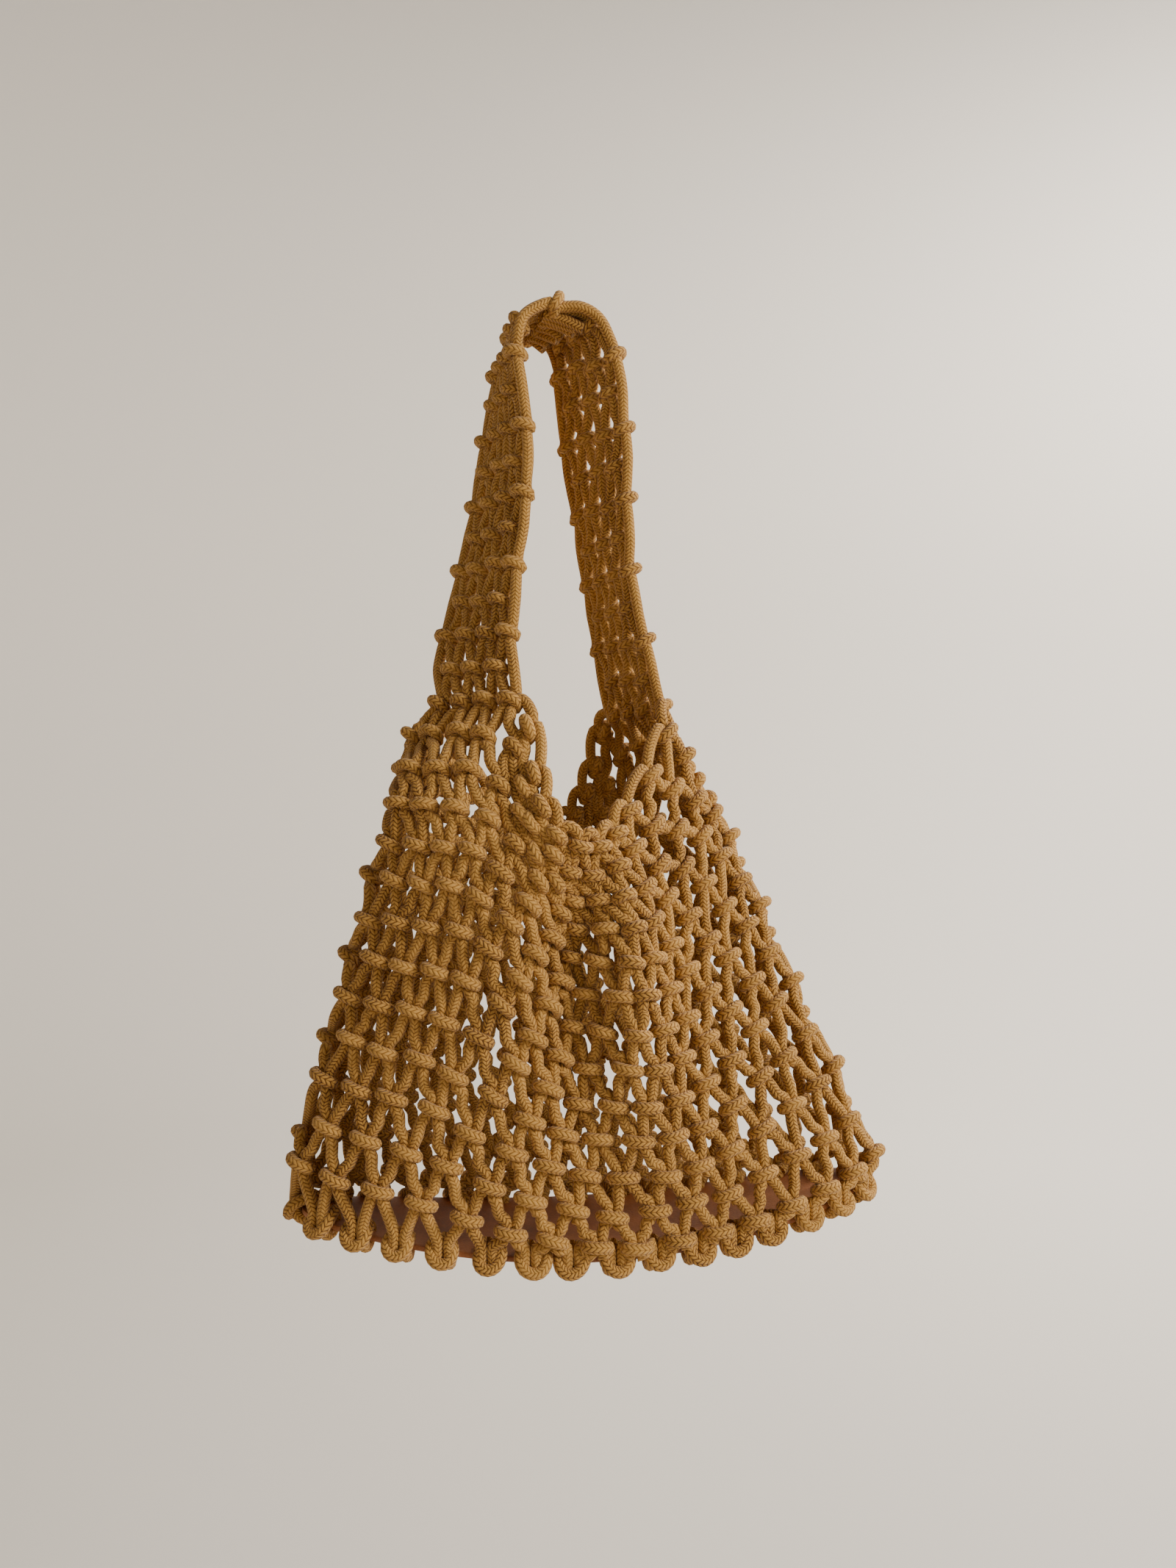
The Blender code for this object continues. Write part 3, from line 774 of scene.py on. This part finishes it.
def cotton_finish():
    """Round braid: yarns slant one way and then the other in columns round the cord, with painted shade in the
    grooves between them.
    """
    finish = Finish("tan braided cotton")
    braid = finish.node("ShaderNodeAttribute", {"attribute_name": "braid"}, output="Vector")
    parts = finish.node("ShaderNodeSeparateXYZ", Vector=braid)
    cosine = parts
    sine = Wire(finish, parts.socket.node.outputs[1])
    length = Wire(finish, parts.socket.node.outputs[2])
    angle = sine.math("ARCTAN2", cosine)
    tone = finish.node("ShaderNodeAttribute", {"attribute_name": "tone"}, output="Fac")
    place = finish.node("ShaderNodeTexCoord", output="Object")
    columns = angle * (BRAID_COLUMNS / math.tau)
    zigzag = columns.math("PINGPONG", 1.0)
    yarn = ((length / BRAID_PITCH) + zigzag * BRAID_SLANT).math("FRACT")
    yarn_arch = 1 - ((yarn - 0.5) * 2).math("ABSOLUTE") ** 2.2
    column_arch = 1 - ((zigzag - 0.5) * 2).math("ABSOLUTE") ** 4.0
    height = (yarn_arch * (0.35 + 0.65 * column_arch)).clamped()
    fibres = finish.node("ShaderNodeTexNoise", Vector=place, Scale=1400.0, Detail=3.0, Roughness=0.7)
    blotches = finish.node("ShaderNodeTexNoise", Vector=place, Scale=38.0, Detail=2.0)
    # Painted shade: the colour follows the yarns' height, so the grooves between yarns and between braid columns
    # are painted darker. The fibres, blotches and each cord's random tone are the cotton's own wear and tone.
    groove_shade_and_wear = (height * 0.75 + (fibres - 0.5) * 0.7 + (blotches - 0.5) * 0.5 + (tone - 0.5) * 0.15).clamped()
    colour = finish.node(
        "ShaderNodeValToRGB", {"stops": ((0.0, PAINTED_GROOVE_SHADE), (0.42, TAN), (1.0, WORN))}, Fac=groove_shade_and_wear)
    relief = height * 0.8 + fibres * 0.35
    bump = finish.node("ShaderNodeBump", Strength=0.75, Distance=0.0007, Height=relief)
    finish.set(
        Base_Color=colour, Roughness=0.92, Normal=bump, Sheen_Weight=0.12, Sheen_Roughness=0.5,
        Specular_IOR_Level=0.2)
    return finish.material


cord_maker = cord_tree()
cotton = cotton_finish()
CORD_VALUES = {
    "Diameter": CORD, "Sides": 10, "Step": 0.0023, "Unevenness": 0.0009, "Seed": 3, "Material": cotton}
for part, routes in body_routes().items():
    piece = cord_maker.apply(curve_object("guide", routes), CORD_VALUES, f"body_net_{part}")
    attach(piece, "root")
    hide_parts("body_net")

# Strap
# The body's cords go on up over the top as a flat band of the same knots, tied so close that only
# narrow slits are left. At the edges a cord skips each second row.
EDGE_PLACE = 1.72
STRAP_CORD = 0.0062

leg_knots = {}
for leg in ("left", "right"):
    for row in range(1, LEG_ROWS[leg] + 1):
        reach = LEG_COLUMNS - 1 - row % 2
        for half in range(-reach, reach + 1, 2):
            leg_knots[leg, row, half] = Knot(leg_point(leg), half / 2, row, downwards=-1, cord=STRAP_CORD)


# The load flattens the arch, so the knots at the very top lie this much deeper
TOP_SINK = 0.0024
for half in range(1 - LEG_COLUMNS, LEG_COLUMNS, 2):
    top_knot = leg_knots["left", LEG_ROWS["left"], half]
    top_knot.centre -= top_knot.out * TOP_SINK


def strap_knot(leg, row, half):
    if row:
        return leg_knots[leg, row, half]
    return body_knots[0, (LEG_MIDDLES[leg] + half) % (2 * COLUMNS)]


def leg_route(leg, half, role):
    """One cord of a leg, from the top of the strap down to where it enters its knot in the rim."""
    steps = [(0, half, role)]
    while steps[-1][0] < LEG_ROWS[leg] - 1:
        row, half, role = steps[-1]
        step = -1 if role == "core" else 1
        if abs(half + step) < LEG_COLUMNS:
            steps.append((row + 1, half + step, OTHER[role]))
        else:
            steps.append((row + 2, half, role))
    row, half, role = steps[-1]
    step = -1 if role == "core" else 1
    if row < LEG_ROWS[leg] and abs(half + step) < LEG_COLUMNS:
        steps.append((row + 1, half + step, OTHER[role]))
    surface = leg_point(leg)
    points = []
    for (row, half, role), (below, half_below, role_below) in zip(steps[::-1], steps[-2::-1]):
        points += strap_knot(leg, row, half).path(role)
        if row - below == 2:
            points.append(surface(math.copysign(EDGE_PLACE, half), row - 1))
        else:
            points += strand_points(surface, (half / 2, row), (half_below / 2, below))
    last = strap_knot(leg, 0, steps[0][1])
    return steps[-1], points + [last.spot(*point) for point in KNOT_PATHS[steps[0][2]][:2]]


def strap_routes():
    """Every cord of the strap, from the rim's left end over the top to its right end."""
    ends = {}
    for leg in ("left", "right"):
        for half in range(1 - LEG_COLUMNS, LEG_COLUMNS, 2):
            for role in ("core", "wrap"):
                (row, top_half, top_role), points = leg_route(leg, half, role)
                ends.setdefault(leg, {})[top_half, top_role] = points
    routes = []
    surface = leg_point("left")
    for (half, role), points in ends["left"].items():
        target = half + (-1 if role == "core" else 1)
        if abs(target) < LEG_COLUMNS:
            mate = ends["right"][-target, role]
            over = [surface((half + target) / 4, LEG_ROWS["left"] + 0.5)]
        else:
            mate = ends["right"][-half, OTHER[role]]
            edge = math.copysign(EDGE_PLACE, half)
            over = [surface(edge, LEG_ROWS["left"] + 0.5), surface(edge, LEG_ROWS["left"] + 1)]
        routes.append(points[::-1] + over + mate)
    return routes


# The way of a tucked end along the underside of the top: the row and the depth in cord diameters
TUCK_PATH = ((11.6, -0.75), (12.3, -1.10), (12.9, -1.05))
TUCK_SPREAD = 0.16


def tucked_ends():
    """The ends of the cords, which lie close together under the top where the strap's halves meet."""
    surface = leg_point("left")
    routes = []
    for half in range(1 - LEG_COLUMNS, LEG_COLUMNS):
        route = []
        for row, depth in TUCK_PATH:
            column = half * 0.45 + chance.uniform(-TUCK_SPREAD, TUCK_SPREAD)
            route.append(Knot(surface, column, row, downwards=-1, cord=STRAP_CORD).spot(0, 0, depth))
        routes.append(route)
    return routes


strap_values = dict(CORD_VALUES, Diameter=STRAP_CORD)
strap_guide = curve_object("guide", strap_routes() + tucked_ends())
strap = cord_maker.apply(strap_guide, strap_values, "strap_net")
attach(strap, "root")
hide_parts("left_strap", "right_strap")

# Leather base
# A thick oval of brown vegetable-tanned leather, cut with a plain edge and punched all round, which
# has bent down in the middle under the bag's load. The cords go round its edge through the holes.
HOLE_PLACE = 1.72 * CORD
HOLE_WIDTH = 0.0112
HOLE_DEPTH = 0.0072
EDGE_ROUND = 0.0008


def leather_plate():
    """The oval plate in rings from its middle to its edge, with the edge eased top and bottom."""
    rings = [(share, 0.0) for share in (0.15, 0.35, 0.55, 0.7, 0.82, 0.9, 0.96)]
    rings += [(1.0, EDGE_ROUND), (1.0, 0.25 * EDGE_ROUND), (1.0, 0.0)]
    count = 192
    half = BASE_THICKNESS / 2
    bm = bmesh.new()

    def spot(share, inset, angle, rise):
        x = -(BASE_LENGTH / 2 - inset) * share * math.cos(angle)
        y = -(BASE_DEPTH / 2 - inset) * share * math.sin(angle)
        return bm.verts.new((
            x + BASE_MIDDLE[0], y + BASE_MIDDLE[1], leather_height(x + BASE_MIDDLE[0]) + rise))

    heights = {EDGE_ROUND: half, 0.25 * EDGE_ROUND: half - 0.25 * EDGE_ROUND, 0.0: half - EDGE_ROUND}
    layers = []
    for share, inset in rings[:-3]:
        layers.append((share, 0.0, half))
    for share, inset in rings[-3:]:
        layers.append((share, inset, heights[inset]))
    layers += [(share, inset, -rise) for share, inset, rise in layers[::-1]]
    angles = [even_angle(i / count, BASE_LENGTH / 2, BASE_DEPTH / 2) for i in range(count)]
    loops = [[spot(share, inset, angle, rise) for angle in angles] for share, inset, rise in layers]
    for before, after in zip(loops, loops[1:]):
        for i in range(count):
            k = (i + 1) % count
            bm.faces.new((before[i], before[k], after[k], after[i]))
    for loop, rise in ((loops[0], half), (loops[-1], -half)):
        middle = spot(0.0, 0.0, 0.0, rise)
        for i in range(count):
            bm.faces.new((loop[i], loop[(i + 1) % count], middle))
    bmesh.ops.recalc_face_normals(bm, faces=bm.faces)
    return bm


def hole_cutters():
    """One oval punch for each loop of cord."""
    bm = bmesh.new()
    for column in range(COLUMNS):
        place = column + 0.5
        foot = net_point(place, ROWS + 1)
        along = (net_point(place + 0.2, ROWS + 1) - net_point(place - 0.2, ROWS + 1)).normalized()
        along = Vector((along.x, along.y, 0)).normalized()
        inward = Vector((-along.y, along.x, 0))
        middle = foot + inward * HOLE_PLACE
        middle.z = leather_height(middle.x)
        turn = Matrix((along, inward, Vector((0, 0, 1)))).transposed().to_4x4()
        size = Matrix.Diagonal((HOLE_WIDTH / 2, HOLE_DEPTH / 2, 4 * BASE_THICKNESS, 1))
        bmesh.ops.create_cone(
            bm, cap_ends=True, segments=20, radius1=1, radius2=1, depth=1,
            matrix=Matrix.Translation(middle) @ turn @ size)
    return bm


def mesh_object(name, bm):
    mesh = bpy.data.meshes.new(name)
    bm.to_mesh(mesh)
    bm.free()
    made = bpy.data.objects.new(name, mesh)
    bpy.context.scene.collection.objects.link(made)
    return made


def leather_finish():
    """Vegetable-tanned leather: warm brown, pebbled grain, handled darker in patches."""
    finish = Finish("brown leather")
    place = finish.node("ShaderNodeTexCoord", output="Object")
    patches = finish.node("ShaderNodeTexNoise", Vector=place, Scale=22.0, Detail=4.0, Roughness=0.6)
    grain = finish.node("ShaderNodeTexVoronoi", {"feature": "SMOOTH_F1"}, Vector=place, Scale=900.0)
    pores = finish.node("ShaderNodeTexNoise", Vector=place, Scale=2400.0, Detail=2.0)
    tone = (patches * 1.1 + (grain - 0.4) * 0.25 + (pores - 0.5) * 0.3 - 0.05).clamped()
    colour = finish.node("ShaderNodeValToRGB", {"stops": (
        (0.25, (0.180, 0.055, 0.014)), (0.55, (0.360, 0.125, 0.034)), (0.85, (0.500, 0.205, 0.066)))},
        Fac=tone)
    roughness = 0.42 + 0.25 * patches
    bump = finish.node(
        "ShaderNodeBump", Strength=0.4, Distance=0.0004, Height=grain * 0.8 + pores * 0.4)
    finish.set(Base_Color=colour, Roughness=roughness, Normal=bump)
    return finish.material


plate = mesh_object("plate", leather_plate())
punches = mesh_object("punches", hole_cutters())
punched = plate.modifiers.new("holes", "BOOLEAN")
punched.operation = "DIFFERENCE"
punched.object = punches
punched.use_self = True
graph = bpy.context.evaluated_depsgraph_get()
base_mesh = bpy.data.meshes.new_from_object(plate.evaluated_get(graph), depsgraph=graph)
base = bpy.data.objects.new("oval_base", base_mesh)
bpy.context.scene.collection.objects.link(base)
bpy.data.objects.remove(plate, do_unlink=True)
bpy.data.objects.remove(punches, do_unlink=True)
base_mesh.materials.clear()
base_mesh.materials.append(leather_finish())
base_mesh.shade_smooth()
base_mesh.set_sharp_from_angle(angle=math.radians(40))
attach(base, "root")
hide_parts("leather_base")
